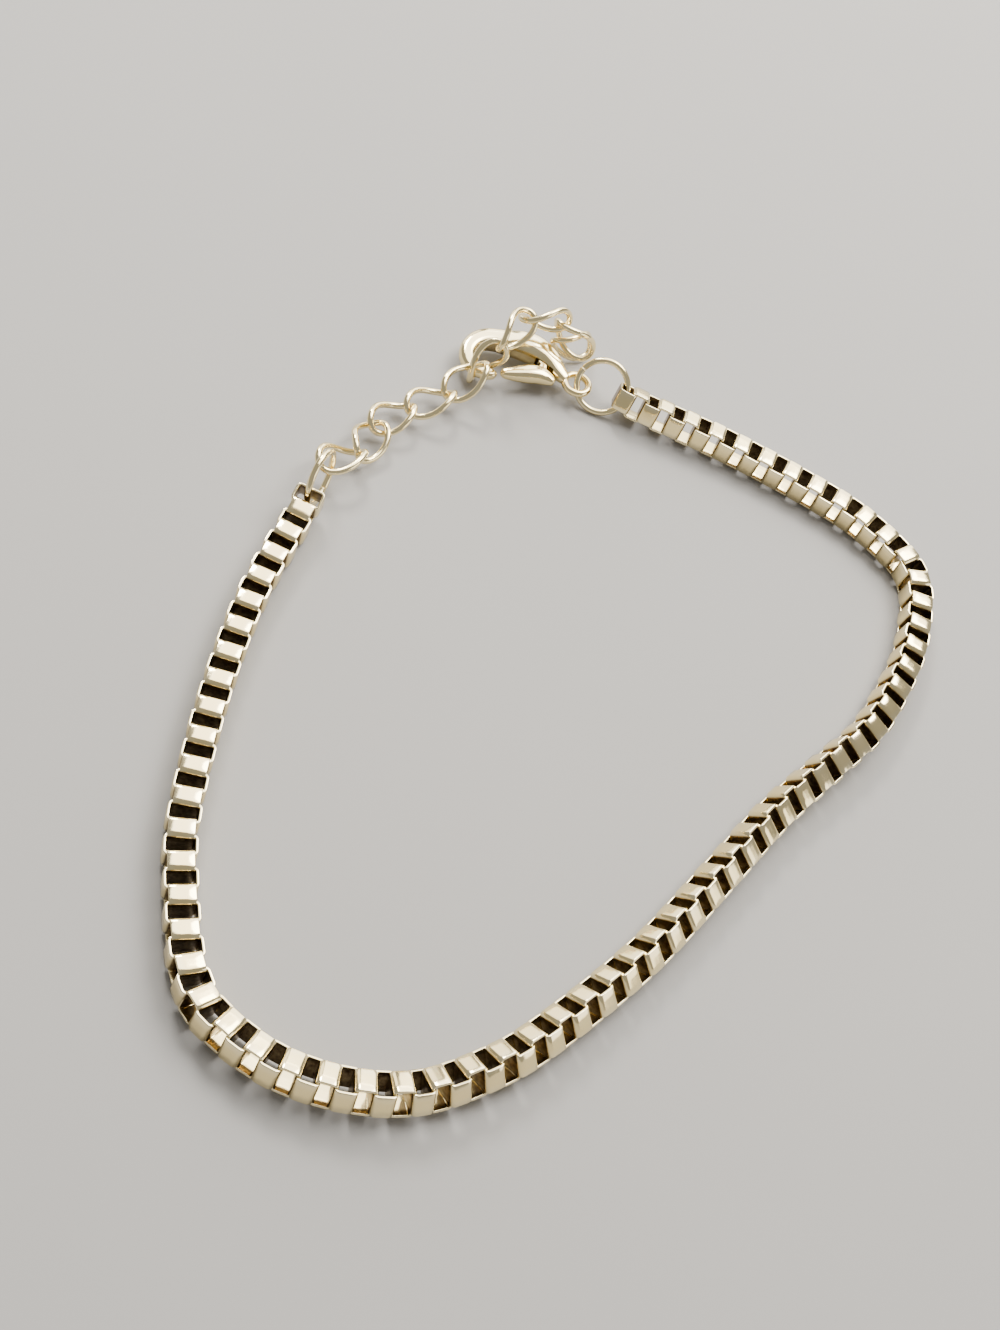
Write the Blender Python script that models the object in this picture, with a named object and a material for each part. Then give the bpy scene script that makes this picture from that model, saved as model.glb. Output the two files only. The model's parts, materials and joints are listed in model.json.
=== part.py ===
"""Box chain bracelet, lying in a loop on a flat surface.

Square boxes of flat strip, each a quarter turn from the next, make the chain. A jump ring at
one end holds an extender of twisted oval links, one at the other end holds a lobster clasp,
and the clasp is closed on the extender. The model is in metres, +Z up, and stands on Z = 0.
"""

import math

import bmesh
import bpy
import numpy as np
from mathutils import Matrix, Vector

MM = 0.001
UP = Vector((0, 0, 1))

# Box chain
BOX_PITCH = 1.275 * MM
BOX_ACROSS = 2.5 * MM
STRIP_WIDTH = 1.92 * MM
STRIP_THICKNESS = 0.23 * MM
CORNER_CUT = 0.3 * MM
SOLDER_DEPTH = 0.045 * MM
BOX_LENGTH = BOX_PITCH + 2 * STRIP_THICKNESS - SOLDER_DEPTH

# Jump rings
RING_DIAMETER = 5.2 * MM
RING_WIRE = 0.56 * MM
RING_RADIUS = (RING_DIAMETER - RING_WIRE) / 2
RING_SIDES = 16

# Share of its bow by which a ring is set in from the middle of the free window
BOW_SHARE = 0.75

# The chain climbs to each ring over this length
RISE_LENGTH = 3.4 * MM

# Extender links
LINK_LENGTH = 5.36 * MM
LINK_BREADTH = 3.5 * MM
LINK_WIRE = 0.56 * MM
LINK_TWIST = math.radians(42)
LINK_SIDES = 16

# Lobster clasp, in its own plan: x runs to its eye, y to the side away from the lever
CLASP_LENGTH = 12.4 * MM
CLASP_BREADTH = 6.2 * MM
CLASP_FLATNESS = 0.92
CLASP_HEADING = 12
EYE_HOLE = 1.6 * MM
EYE_WIRE = 0.64 * MM
# Where on its jump ring the eye sits, in degrees from the side away from the chain
EYE_PLACE = -22

# The lever turns on a pin between the clasp's two cheeks
PIN_DIAMETER = 0.6 * MM
PIN_LENGTH = 1.5 * MM
PIN_CLEARANCE = 0.07 * MM
PIVOT = Vector((0.202 * CLASP_LENGTH, 0.218 * CLASP_BREADTH, 0))
BOSS_RADIUS = 0.7 * MM
TONGUE_THICKNESS = 0.84 * MM
SLOT_CLEARANCE = 0.1 * MM
SLOT_LENGTH = 1.8 * MM

# The chain's route, counter-clockwise seen from above: x and y in mm, roll in degrees
ROUTE = (
    (-25.4, 8.0, 0),
    (-25.2, -2.0, 0),
    (-23.6, -12.0, 0),
    (-21.0, -21.9, 0),
    (-18.9, -26.5, 1),
    (-16.3, -30.9, 3),
    (-14.7, -32.9, 8),
    (-12.6, -34.4, 14),
    (-7.7, -35.5, 20),
    (-2.6, -34.9, 22),
    (2.0, -32.9, 26),
    (5.7, -29.3, 34),
    (8.6, -25.1, 37),
    (13.1, -16.0, 43),
    (16.5, -6.4, 50),
    (19.0, 0.9, 55),
    (22.1, 7.9, 67),
    (24.1, 12.6, 71),
    (25.1, 17.5, 75),
    (25.6, 22.6, 82),
    (25.1, 27.7, 86),
    (24.3, 30.1, 87),
    (22.7, 32.1, 88),
    (18.0, 34.2, 88),
    (13.0, 35.0, 88),
    (5.4, 35.4, 86),
    (-1.0, 35.1, 76),
    (-6.1, 34.7, 62),
)

# Each ring as seen from the chain's end: the way to its centre, and how its wire leans
RING_SETTINGS = {
    "extender_jump_ring": {"heading": 90, "pitch": 17, "lean": 7},
    "clasp_jump_ring": {"heading": 182, "pitch": 4, "lean": -45},
}

# The extender's links as they lie: centre in mm, then heading, pitch and roll in degrees
EXTENDER = (
    (-25.0, 13.65, 1.95, 57, -12, -9),
    (-23.85, 17.25, 1.35, 90, -4, 14),
    (-23.3, 20.8, 1.3, 64, -1, -1),
    (-21.1, 24.2, 1.5, 53, 4, -8),
    (-19.25, 27.6, 2.25, 65, 20, -5),
    (-18.5, 30.3, 2.65, 48, 64, 89),
    (-17.25, 32.7, 5.2, 75, 16, 64),
    (-15.45, 35.75, 5.15, 37, -4, -69),
    (-12.6, 37.1, 3.25, 10, -37, -78),
    (-12.45, 37.8, 2.0, -133, 26, 87),
)

# Sections along the clasp's body and hook, from the eye round to the tip, then along the lever
# from its tip. Places are shares of the clasp's length and breadth, radii of its breadth
HOOK = (
    (0.376, 0.02, 0.08),
    (0.315, 0.12, 0.12),
    (0.26, 0.235, 0.155),
    (0.195, 0.33, 0.185),
    (0.105, 0.40, 0.21),
    (0.015, 0.41, 0.205),
    (-0.08, 0.38, 0.18),
    (-0.175, 0.355, 0.16),
    (-0.26, 0.30, 0.153),
    (-0.33, 0.17, 0.137),
    (-0.363, -0.015, 0.12),
    (-0.343, -0.21, 0.106),
    (-0.275, -0.33, 0.093),
    (-0.20, -0.347, 0.084),
    (-0.15, -0.32, 0.074),
    (-0.13, -0.306, 0.045),
)
LEVER_ARM = (
    (-0.085, -0.247, 0.045),
    (-0.069, -0.234, 0.071),
    (0.016, -0.17, 0.106),
    (0.097, -0.105, 0.129),
    (0.17, -0.061, 0.129),
    (0.234, -0.068, 0.105),
    (0.29, -0.097, 0.061),
)
LEVER_TONGUE = (
    (0.202, 0.177, 0.08),
    (0.185, -0.048, 0.08),
)

GOLD = (0.86, 0.78, 0.55, 1.0)
WORN_GOLD = (0.80, 0.72, 0.50, 1.0)


def empty_scene():
    for obj in list(bpy.data.objects):
        bpy.data.objects.remove(obj, do_unlink=True)


def new_collection(name, hidden=False):
    made = bpy.data.collections.new(name)
    made.hide_render = hidden
    bpy.context.scene.collection.children.link(made)
    return made


def metal(name, colour, roughness):
    made = bpy.data.materials.new(name)
    made.use_nodes = True
    shader = made.node_tree.nodes["Principled BSDF"]
    shader.inputs["Base Color"].default_value = colour
    shader.inputs["Metallic"].default_value = 1.0
    shader.inputs["Roughness"].default_value = roughness
    return made


def turned(heading, pitch, roll):
    """Axes of a piece: along, across and above, after a heading, a pitch and a roll in degrees."""
    return (
        Matrix.Rotation(math.radians(heading), 3, "Z")
        @ Matrix.Rotation(math.radians(-pitch), 3, "Y")
        @ Matrix.Rotation(math.radians(roll), 3, "X")
    )


def placed(axes, centre):
    return Matrix.Translation(centre) @ axes.to_4x4()


def smooth_route(rows, steps):
    """Points of a Catmull-Rom curve through the rows, with every column carried along."""
    rows = np.array(rows, float)
    rows = np.vstack([2 * rows[0] - rows[1], rows, 2 * rows[-1] - rows[-2]])
    share = np.linspace(0, 1, steps, endpoint=False)[:, None]
    stretches = []
    for before, start, end, after in zip(rows, rows[1:], rows[2:], rows[3:]):
        bend = 2 * before - 5 * start + 4 * end - after
        twist = 3 * (start - end) + after - before
        stretches.append(start + share * (end - before + share * (bend + share * twist)) / 2)
    return np.vstack([*stretches, rows[-2]])


def to_mesh(obj, name, flatness=1.0):
    """A closed mesh object with the evaluated shape of a curve object, which is removed."""
    graph = bpy.context.evaluated_depsgraph_get()
    mesh = bpy.data.meshes.new_from_object(obj.evaluated_get(graph))
    mesh.name = name
    shape = bmesh.new()
    shape.from_mesh(mesh)
    bmesh.ops.remove_doubles(shape, verts=shape.verts, dist=1e-7)
    bmesh.ops.scale(shape, vec=(1, 1, flatness), verts=shape.verts)
    bmesh.ops.recalc_face_normals(shape, faces=shape.faces)
    shape.to_mesh(mesh)
    shape.free()
    place = obj.matrix_world.copy()
    homes = list(obj.users_collection)
    bpy.data.objects.remove(obj)
    made = bpy.data.objects.new(name, mesh)
    made.matrix_world = place
    for collection in homes:
        collection.objects.link(made)
    return made


def poly_curve(name, collection, points, radii=None, closed=False):
    curve = bpy.data.curves.new(name, "CURVE")
    curve.dimensions = "3D"
    spline = curve.splines.new("POLY")
    spline.points.add(len(points) - 1)
    spline.use_cyclic_u = closed
    for index, point in enumerate(points):
        spline.points[index].co = (*point, 1)
        if radii is not None:
            spline.points[index].radius = radii[index]
    made = bpy.data.objects.new(name, curve)
    collection.objects.link(made)
    return made


def wire_loop(name, collection, points, wire):
    """A closed loop of round wire through the points, six-sided."""
    made = poly_curve(name, collection, points, closed=True)
    made.data.bevel_depth = wire / 2
    made.data.bevel_resolution = 1
    return made


def tapered_bar(name, collection, rows):
    """A bar that follows rows of clasp shares, flattened to the clasp's section."""
    path = smooth_route(rows, 3)
    points = [(x * CLASP_LENGTH, y * CLASP_BREADTH, 0) for x, y, _ in path]
    made = poly_curve(name, collection, points, radii=path[:, 2] * CLASP_BREADTH / MM)
    made.data.bevel_depth = MM
    made.data.bevel_resolution = 3
    made.data.use_fill_caps = True
    return to_mesh(made, name, CLASP_FLATNESS)


def helper(obj, helpers):
    for collection in list(obj.users_collection):
        collection.objects.unlink(obj)
    helpers.objects.link(obj)
    obj.hide_render = True
    obj.display_type = "WIRE"
    return obj


def combine(obj, other, operation):
    """Joins another mesh to the object, or cuts it away."""
    modifier = obj.modifiers.new(f"{operation.lower()} {other.name}", "BOOLEAN")
    modifier.operation = operation
    modifier.solver = "EXACT"
    modifier.object = other


def finish(obj, material, sharp=35):
    obj.data.materials.clear()
    obj.data.materials.append(material)
    if obj.type == "MESH":
        obj.data.shade_smooth()
        obj.data.set_sharp_from_angle(angle=math.radians(sharp))


def box_outline():
    """Outer and inner outline of one box, seen along its tube."""
    half = Vector((BOX_LENGTH / 2, BOX_ACROSS / 2))
    outer = []
    for x_side, y_side in ((1, 1), (-1, 1), (-1, -1), (1, -1)):
        on_end = Vector((x_side * half.x, y_side * (half.y - CORNER_CUT)))
        on_side = Vector((x_side * (half.x - CORNER_CUT), y_side * half.y))
        outer += [on_end, on_side] if x_side * y_side > 0 else [on_side, on_end]
    wall = Vector((STRIP_THICKNESS, STRIP_THICKNESS))
    room = half - wall
    inner = [Vector((x * room.x, y * room.y)) for x, y in ((1, 1), (-1, 1), (-1, -1), (1, -1))]
    return outer, inner


def box_mesh(helpers):
    """One box: a flat strip bent round into a short square tube."""
    curve = bpy.data.curves.new("box", "CURVE")
    curve.dimensions = "2D"
    curve.fill_mode = "BOTH"
    curve.extrude = STRIP_WIDTH / 2
    for outline in box_outline():
        spline = curve.splines.new("POLY")
        spline.points.add(len(outline) - 1)
        spline.use_cyclic_u = True
        for index, point in enumerate(outline):
            spline.points[index].co = (*point, 0, 1)
    made = bpy.data.objects.new("box", curve)
    helpers.objects.link(made)
    return to_mesh(made, "box")


def rest_height(roll):
    """Height of the chain's centre line over the surface at a roll in radians."""
    across, width = BOX_ACROSS / 2, STRIP_WIDTH / 2
    flat = width * abs(math.sin(roll)) + across * abs(math.cos(roll))
    upright = across * abs(math.sin(roll)) + width * abs(math.cos(roll))
    return max(flat, upright)


def ring_axes(setting):
    """Axes of a ring: x from the chain's end to its centre, y along its wire there."""
    return turned(setting["heading"], setting["pitch"], 0) @ Matrix.Rotation(
        math.radians(90 - setting["lean"]), 3, "X"
    )


def ring_contact_height(axes):
    """Height at which a ring that stands on the surface takes the chain's end."""
    reach = math.hypot(axes[2][0], axes[2][1])
    return RING_RADIUS * reach + RING_WIRE / 2 - RING_RADIUS * axes[2][0]


def box_places():
    """The centre and axes of each box, evenly spaced along the route."""
    rows = smooth_route(ROUTE, 24)
    flat = rows[:, :2] * MM
    steps = np.linalg.norm(np.diff(flat, axis=0), axis=1)
    run = np.concatenate([[0], np.cumsum(steps)])
    pairs = round((run[-1] / BOX_PITCH + 1) / 2)
    stations = np.linspace(0, run[-1], 2 * pairs)
    x = np.interp(stations, run, flat[:, 0])
    y = np.interp(stations, run, flat[:, 1])
    rolls = np.radians(np.interp(stations, run, rows[:, 2]))
    rest = np.array([rest_height(roll) for roll in rolls])
    first, last = (ring_contact_height(ring_axes(s)) for s in RING_SETTINGS.values())
    from_first = np.clip(1 - stations / RISE_LENGTH, 0, None) ** 2
    from_last = np.clip(1 - (run[-1] - stations) / RISE_LENGTH, 0, None) ** 2
    z = rest + (first - rest[0]) * from_first + (last - rest[-1]) * from_last
    centres = np.stack([x, y, z], axis=1)
    tangents = np.gradient(centres, axis=0)
    places = []
    for index, (centre, tangent, roll) in enumerate(zip(centres, tangents, rolls)):
        along = Vector(tangent).normalized()
        inward = UP.cross(along).normalized()
        above = along.cross(inward)
        first_side = math.cos(roll) * above + math.sin(roll) * inward
        side = first_side if index % 2 else along.cross(first_side)
        axes = Matrix((along, side, along.cross(side))).transposed()
        places.append(placed(axes, Vector(centre)))
    return places


def boxes(name, collection, box, places):
    """Copies of the box at the places, in one mesh."""
    shape = bmesh.new()
    for place in places:
        before = len(shape.verts)
        shape.from_mesh(box.data)
        shape.verts.ensure_lookup_table()
        bmesh.ops.transform(shape, matrix=place, verts=shape.verts[before:])
    mesh = bpy.data.meshes.new(name)
    shape.to_mesh(mesh)
    shape.free()
    made = bpy.data.objects.new(name, mesh)
    collection.objects.link(made)
    return made


def build_chain(parts, helpers, material, places):
    box = helper(box_mesh(helpers), helpers)
    chain = boxes("box_chain", parts, box, places[::2])
    between = helper(boxes("between_boxes", parts, box, places[1::2]), helpers)
    combine(chain, between, "UNION")
    bpy.data.objects.remove(box)
    finish(chain, material)
    return chain


def ring_centre(end_box, outward, axes):
    """Centre of the ring whose wire fills the free half of the end box's window."""
    free_middle = (STRIP_THICKNESS - SOLDER_DEPTH) / 2
    bow = RING_RADIUS - math.sqrt(RING_RADIUS**2 - (STRIP_WIDTH / 2) ** 2)
    contact = end_box.translation + outward * (free_middle - BOW_SHARE * bow)
    return contact + axes.col[0] * RING_RADIUS


def build_ring(name, parts, material, centre, axes):
    angles = np.linspace(0, 2 * math.pi, RING_SIDES, endpoint=False)
    points = [(RING_RADIUS * math.cos(a), RING_RADIUS * math.sin(a), 0) for a in angles]
    ring = wire_loop(name, parts, points, RING_WIRE)
    ring.matrix_world = placed(axes, centre)
    finish(ring, material)
    return ring


def link_points():
    """Centre line of an extender link: an oval whose two ends are twisted opposite ways."""
    half_length = (LINK_LENGTH - LINK_WIRE) / 2
    half_breadth = (LINK_BREADTH - LINK_WIRE) / 2
    points = []
    for angle in np.linspace(0, 2 * math.pi, LINK_SIDES, endpoint=False):
        turn = -LINK_TWIST * math.cos(angle)
        side = half_breadth * math.sin(angle)
        points.append((half_length * math.cos(angle), side * math.cos(turn), side * math.sin(turn)))
    return points


def build_extender(parts, material):
    for number, (x, y, z, heading, pitch, roll) in enumerate(EXTENDER, start=1):
        link = wire_loop(f"extender_link_{number:02d}", parts, link_points(), LINK_WIRE)
        link.matrix_world = placed(turned(heading, pitch, roll), Vector((x, y, z)) * MM)
        finish(link, material)


def upright_cylinder(name, radius, length, centre):
    bpy.ops.mesh.primitive_cylinder_add(vertices=16, radius=radius, depth=length, location=centre)
    made = bpy.context.object
    made.name = name
    return made


def eye_centre():
    return Vector((HOOK[0][0] * CLASP_LENGTH + (EYE_HOLE + EYE_WIRE) / 2, 0, 0))


def clasp_frame(ring_turn, ring_middle):
    """The clasp's own frame, with its eye hung on the ring's wire."""
    place = math.radians(EYE_PLACE)
    wire = math.cos(place) * ring_turn.col[0] + math.sin(place) * ring_turn.col[1]
    eye = ring_middle + wire * RING_RADIUS
    axes = turned(CLASP_HEADING, 0, 0)
    return placed(axes, eye - axes @ eye_centre())


def build_clasp(parts, helpers, material, frame):
    body = tapered_bar("clasp_body", parts, HOOK)
    bpy.ops.mesh.primitive_torus_add(
        major_segments=16,
        minor_segments=8,
        major_radius=(EYE_HOLE + EYE_WIRE) / 2,
        minor_radius=EYE_WIRE / 2,
        location=eye_centre(),
    )
    eye = helper(bpy.context.object, helpers)
    eye.name = "eye"
    slot_height = TONGUE_THICKNESS + 2 * SLOT_CLEARANCE
    bpy.ops.mesh.primitive_cube_add(size=1)
    slot = helper(bpy.context.object, helpers)
    slot.name = "lever_slot"
    slot_end = PIVOT.y + BOSS_RADIUS + SLOT_CLEARANCE
    slot_start = -CLASP_BREADTH
    slot.scale = (SLOT_LENGTH, slot_end - slot_start, slot_height)
    slot.location = (PIVOT.x, (slot_end + slot_start) / 2, 0)
    pin = helper(upright_cylinder("lever_pin", PIN_DIAMETER / 2, PIN_LENGTH, PIVOT), helpers)
    combine(body, slot, "DIFFERENCE")
    combine(body, eye, "UNION")
    combine(body, pin, "UNION")

    lever = tapered_bar("clasp_lever", parts, LEVER_ARM)
    tongue = helper(tapered_bar("lever_tongue", helpers, LEVER_TONGUE), helpers)
    boss = helper(upright_cylinder("lever_boss", BOSS_RADIUS, TONGUE_THICKNESS, PIVOT), helpers)
    hole_radius = PIN_DIAMETER / 2 + PIN_CLEARANCE
    hole = helper(upright_cylinder("pin_hole", hole_radius, 2 * PIN_LENGTH, PIVOT), helpers)
    combine(lever, tongue, "UNION")
    combine(lever, boss, "UNION")
    combine(lever, hole, "DIFFERENCE")

    pivot = Matrix.Translation(PIVOT)
    lever.data.transform(pivot.inverted())
    for piece in (body, slot, eye, pin, tongue, boss, hole):
        piece.matrix_world = frame @ piece.matrix_basis
    lever.matrix_world = frame @ pivot
    for piece in (body, lever):
        finish(piece, material)


def stand_on_origin(name):
    """Hangs every piece on one empty, with the bracelet's middle over the origin."""
    bpy.context.view_layer.update()
    graph = bpy.context.evaluated_depsgraph_get()
    corners = []
    for obj in bpy.data.objects:
        if obj.hide_render:
            continue
        evaluated = obj.evaluated_get(graph)
        mesh = evaluated.to_mesh()
        corners += [obj.matrix_world @ vertex.co for vertex in mesh.vertices]
        evaluated.to_mesh_clear()
    low = Vector([min(corner[axis] for corner in corners) for axis in range(3)])
    high = Vector([max(corner[axis] for corner in corners) for axis in range(3)])
    middle = (low + high) / 2
    root = bpy.data.objects.new(name, None)
    root.location = (-middle.x, -middle.y, -low.z)
    pieces = list(bpy.data.objects)
    bpy.context.scene.collection.objects.link(root)
    for piece in pieces:
        if piece != root:
            piece.parent = root


def main():
    empty_scene()
    parts = new_collection("box_chain_bracelet")
    helpers = new_collection("cutters", hidden=True)
    chain_gold = metal("chain_gold", GOLD, 0.18)
    ring_gold = metal("ring_gold", GOLD, 0.22)
    extender_gold = metal("extender_gold", GOLD, 0.24)
    clasp_gold = metal("clasp_gold", WORN_GOLD, 0.2)

    places = box_places()
    build_chain(parts, helpers, chain_gold, places)
    first_axes = ring_axes(RING_SETTINGS["extender_jump_ring"])
    last_axes = ring_axes(RING_SETTINGS["clasp_jump_ring"])
    first_centre = ring_centre(places[0], -places[0].col[0].to_3d(), first_axes)
    last_centre = ring_centre(places[-1], places[-1].col[0].to_3d(), last_axes)
    build_ring("extender_jump_ring", parts, ring_gold, first_centre, first_axes)
    build_ring("clasp_jump_ring", parts, ring_gold, last_centre, last_axes)
    build_extender(parts, extender_gold)
    build_clasp(parts, helpers, clasp_gold, clasp_frame(last_axes, last_centre))
    stand_on_origin("bracelet")


main()
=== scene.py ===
"""Finish for the box chain bracelet: smooth metal, gold materials, floor, light and camera.

Every piece takes its place from the packed model. The script is laid out as an add-on with a
panel of sizes and colours, and is run as a script.
"""

import json
import math

import bpy
import numpy as np
from mathutils import Matrix, Vector


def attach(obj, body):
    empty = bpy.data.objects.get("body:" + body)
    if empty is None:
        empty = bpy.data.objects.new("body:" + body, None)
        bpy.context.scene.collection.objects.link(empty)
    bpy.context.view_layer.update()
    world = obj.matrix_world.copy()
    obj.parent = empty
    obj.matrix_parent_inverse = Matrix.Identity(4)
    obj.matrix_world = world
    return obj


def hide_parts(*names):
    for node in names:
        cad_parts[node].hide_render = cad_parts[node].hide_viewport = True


bl_info = {
    "name": "Box Chain Bracelet",
    "version": (1, 0, 0),
    "blender": (4, 5, 0),
    "location": "View3D > Sidebar > Bracelet",
    "description": "Models the smooth metal of a box chain bracelet round its packed frame",
    "category": "Object",
}

MM = 0.001
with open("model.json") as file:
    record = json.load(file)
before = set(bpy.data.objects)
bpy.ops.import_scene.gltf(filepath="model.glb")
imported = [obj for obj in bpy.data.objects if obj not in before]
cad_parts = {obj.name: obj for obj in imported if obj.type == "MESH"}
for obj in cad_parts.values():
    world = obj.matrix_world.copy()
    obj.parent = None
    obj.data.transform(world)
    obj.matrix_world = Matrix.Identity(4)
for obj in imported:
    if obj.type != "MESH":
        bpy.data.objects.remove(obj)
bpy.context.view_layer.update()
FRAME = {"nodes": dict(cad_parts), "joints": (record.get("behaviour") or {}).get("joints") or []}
BODY = "bracelet"
LEVER_BODY = "clasp_lever"
LEVER_HINGE = FRAME["joints"][0]

# The photograph's camera, solved from the chain's boxes: height and focal length in pixels,
# sensor and place in mm, angles in degrees
PHOTO_HEIGHT = 1330
PHOTO_FOCAL = 1693.6
SENSOR = 36.0
CAMERA_PLACE = (-5.57, -77.02, 109.43)
CAMERA_DOWN = 53.80
CAMERA_ROLL = 26.13

# The chain's route, counter-clockwise seen from above: x and y in mm, roll in degrees
ROUTE = (
    (-25.4, 8.0, 0),
    (-25.2, -2.0, 0),
    (-23.6, -12.0, 0),
    (-21.0, -21.9, 0),
    (-18.9, -26.5, 1),
    (-16.3, -30.9, 3),
    (-14.7, -32.9, 8),
    (-12.6, -34.4, 14),
    (-7.7, -35.5, 20),
    (-2.6, -34.9, 22),
    (2.0, -32.9, 26),
    (5.7, -29.3, 34),
    (8.6, -25.1, 37),
    (13.1, -16.0, 43),
    (16.5, -6.4, 50),
    (19.0, 0.9, 55),
    (22.1, 7.9, 67),
    (24.1, 12.6, 71),
    (25.1, 17.5, 75),
    (25.6, 22.6, 82),
    (25.1, 27.7, 86),
    (24.3, 30.1, 87),
    (22.7, 32.1, 88),
    (18.0, 34.2, 88),
    (13.0, 35.0, 88),
    (5.4, 35.4, 86),
    (-1.0, 35.1, 76),
    (-6.1, 34.7, 62),
)

# Points of the smooth curve for each row of the route, and the seed of the boxes' small turns
ROUTE_STEPS = 24
PLAY_SEED = 11

# From the route's frame to the packed model's, whose origin is the middle of the bracelet's box
MODEL_SHIFT = np.array([-0.013, -1.428, 0.016]) * MM

# Height of the chain's centre line at its two ends, and the length over which it climbs to them
FIRST_END_HEIGHT = 1.906 * MM
LAST_END_HEIGHT = 1.763 * MM
RISE_LENGTH = 3.4 * MM

# Sections from the clasp's eye round to the hook's tip, then along the lever from its tip.
# Places are shares of the clasp's length and breadth, radii of its breadth
HOOK = (
    (0.376, 0.02, 0.08),
    (0.315, 0.12, 0.12),
    (0.26, 0.235, 0.155),
    (0.195, 0.33, 0.185),
    (0.105, 0.40, 0.21),
    (0.015, 0.41, 0.205),
    (-0.08, 0.38, 0.18),
    (-0.175, 0.355, 0.16),
    (-0.26, 0.30, 0.153),
    (-0.33, 0.17, 0.137),
    (-0.363, -0.015, 0.12),
    (-0.343, -0.21, 0.106),
    (-0.275, -0.33, 0.093),
    (-0.20, -0.347, 0.084),
    (-0.15, -0.32, 0.074),
    (-0.13, -0.306, 0.045),
)
LEVER_ARM = (
    (-0.085, -0.247, 0.045),
    (-0.069, -0.234, 0.071),
    (0.016, -0.17, 0.106),
    (0.097, -0.105, 0.129),
    (0.17, -0.061, 0.129),
    (0.234, -0.068, 0.105),
    (0.29, -0.097, 0.061),
)
LEVER_TONGUE = (
    (0.202, 0.177, 0.08),
    (0.185, -0.048, 0.08),
)

# Middle of the opening inside the hook, as shares of length and breadth
OPENING = (-0.15, 0.0)

# The clasp's walls that face the opening get painted shade, for the shadow inside the hook: the
# start and span of how squarely they face it, the distance as a share of breadth up to which the
# shade is whole, and the shade's strength. At twice the distance the shade is gone
OPENING_FACING = (0.45, 0.3)
OPENING_REACH = 0.4
OPENING_SHADE = 0.9

# Height over the clasp's middle, as a share of breadth, at which its casting is worn pale
CLASP_PALE_HEIGHT = 0.19

# A bar's end dome: share of the end's radius at each of its rings, and its length in radii
DOME = np.array([0.35, 0.7, 0.9])
DOME_LENGTH = 0.5

# Points round the clasp's eye and round its wire
EYE_STEPS, EYE_SIDES = 56, 24

# Rounded rims of the pin and of the lever's boss, and the angle from which an edge stays sharp
PIN_RIM = 0.05 * MM
BOSS_RIM = 0.06 * MM
SHARP_ANGLE = math.radians(35)

# A box's outline has these steps in each bend and each wall, and the strip's section has these
# in each rounded edge and each face
BEND_STEPS, WALL_STEPS = 6, 2
EDGE_STEPS, FACE_STEPS = 3, 2

# Where the boxes have painted shade or are pale: a point lies on the strip's face from this share
# of its half thickness, on its rim from this share of its half width, and on an end wall where
# the normal runs along the chain. Painted shade inside stands for the shadow in the hollows;
# walls whose inside looks up get none, as light falls on them. The pairs are a start and a span
FACE_SHARE = 0.99
RIM_SHARE = 0.86
END_WALL = (0.8, 0.15)
SKY_FACING = (0.48, 0.4)

# A jump ring's cut end: places in end lengths, and shares of the wire's radius there
RING_END = np.array([[0.0, 0.86], [0.3, 0.95], [1.0, 1.0]])
RING_END_LENGTH = 0.12
RING_STEPS, RING_SIDES = 140, 20
LINK_STEPS, LINK_SIDES = 128, 18

# Share of pale gold on the wires, which are worn evenly
WIRE_PALE = 0.35

# The gold's noises: specks in grains of the plating, scratches in metres and drawn out, then
# how far each of them moves the pale share, the painted shade, the roughness and the relief
SPECK_GRAIN = 0.12
SCRATCH_GRAIN = 0.35 * MM
SCRATCH_STRETCH = (1.0, 9.0, 3.0)
CLOUD_IN_PALE = 0.9
SPECK_MIDDLE = 0.62
SPECK_IN_SHADE = 0.7
CLOUD_IN_ROUGH = 0.12
SCRATCH_IN_ROUGH = 0.08
SHADE_IN_ROUGH = 0.22
ROUGH_LIMITS = (0.06, 0.7)
SCRATCH_IN_RELIEF, SPECK_IN_RELIEF = 0.6, 0.4
RELIEF_DEPTH = 0.02 * MM

# The floor lies this far under the model's foot. Its darker tone is a share of its colour, in
# clouds of which this many fit in a metre
FLOOR_DROP = 0.02 * MM
FLOOR_TONE = 0.96
FLOOR_CLOUDS = 40.0
FLOOR_ROUGHNESS = 0.75

# Area lights that face the origin: name, place and side in metres, setting for the strength
LIGHTS = (
    ("key_light", (0.02, 0.27, 0.42), 0.48, "key"),
    ("window_light", (0.14, 0.28, 0.40), 0.24, "window"),
    ("sun_light", (-0.26, 0.34, 0.36), 0.12, "sun"),
    ("far_light", (0.0, 0.62, 0.19), 0.40, "far"),
    ("left_soft_box", (-0.42, 0.50, 0.14), 0.35, "sides"),
    ("right_soft_box", (0.60, 0.0, 0.14), 0.35, "sides"),
)
LIGHT_COLOUR = (1.0, 0.96, 0.9)
WORLD_COLOUR = (1.0, 0.98, 0.95, 1.0)


def length_property(name, description, millimetres):
    return bpy.props.FloatProperty(
        name=name,
        description=description,
        default=millimetres * MM,
        min=0.0,
        precision=5,
        unit="LENGTH",
    )


def colour_property(name, description, colour):
    return bpy.props.FloatVectorProperty(
        name=name,
        description=description,
        default=colour,
        min=0.0,
        max=1.0,
        size=3,
        subtype="COLOR",
    )


def number_property(name, description, value, high=10.0):
    return bpy.props.FloatProperty(
        name=name, description=description, default=value, min=0.0, max=high, precision=3
    )


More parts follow.
